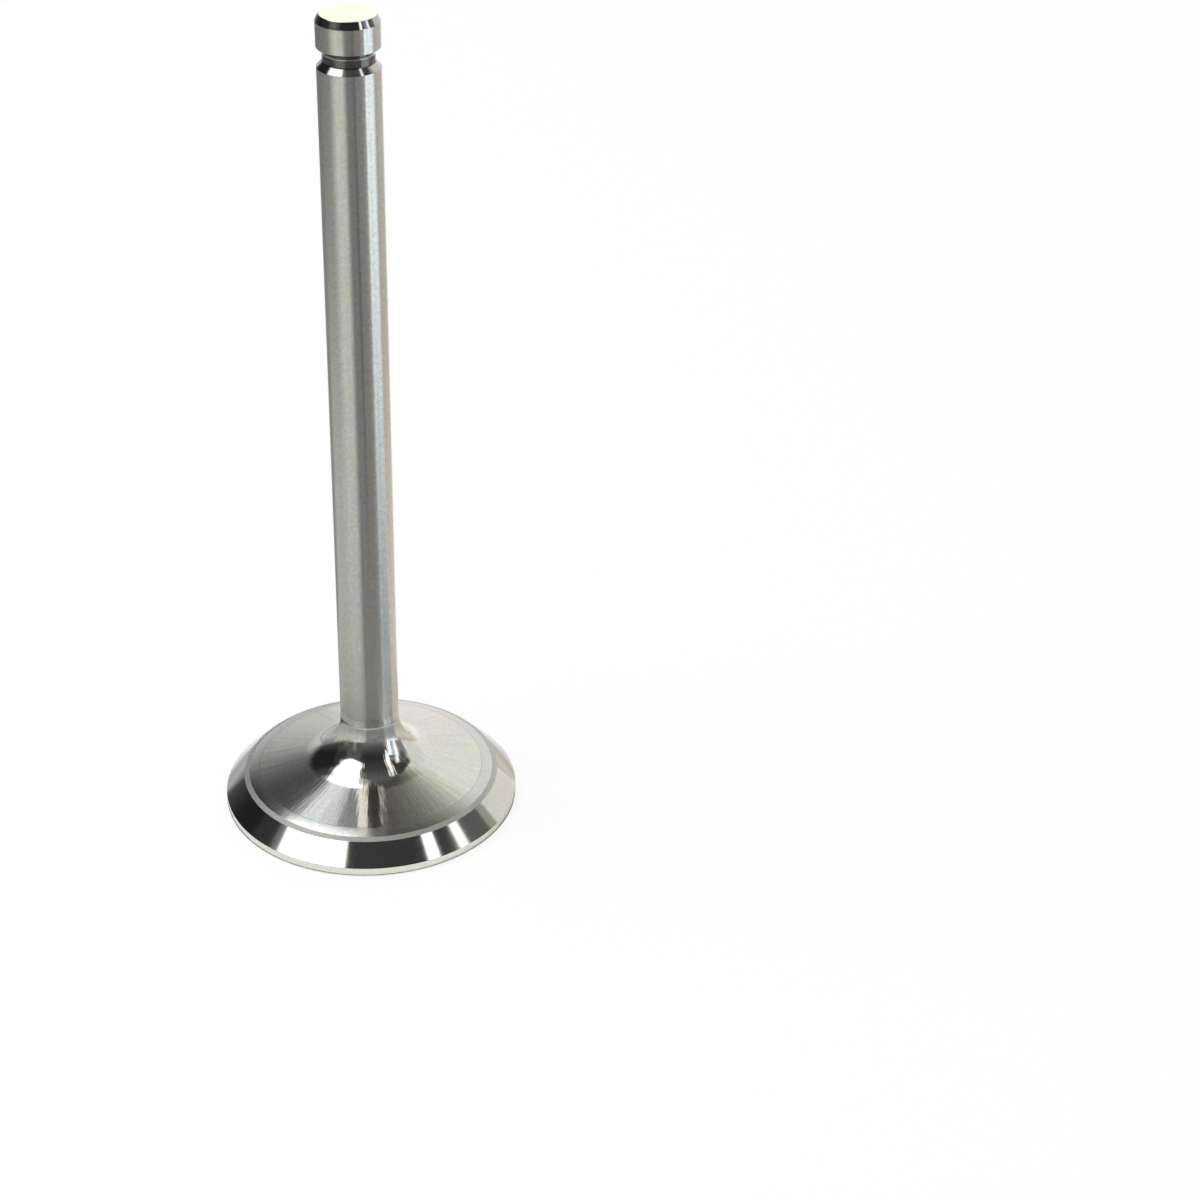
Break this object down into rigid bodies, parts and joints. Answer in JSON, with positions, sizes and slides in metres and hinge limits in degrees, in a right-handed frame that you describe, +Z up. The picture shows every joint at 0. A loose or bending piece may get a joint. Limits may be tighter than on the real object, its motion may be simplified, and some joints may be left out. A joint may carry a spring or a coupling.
{
  "type": "engine poppet valve",
  "caption": "Poppet valve for an engine cylinder head: slim ground stem with a keeper groove near its tip, and a wide tulip head with an angled sealing seat.",
  "frame": {"origin": "centre of the flat combustion face of the head, on which the valve stands", "axes": "+Z runs up the axis of the stem, from the head to the tip; the valve is round, so X and Y are free"},
  "size_m": [0.04, 0.04, 0.112],
  "materials": {
    "valve_steel": "heat-resistant steel: stem, tip and seat ground bright, back of the head turned and polished, combustion face ground satin"
  },
  "bodies": {
    "root": {"valve": "valve_steel"}
  },
  "joints": []
}
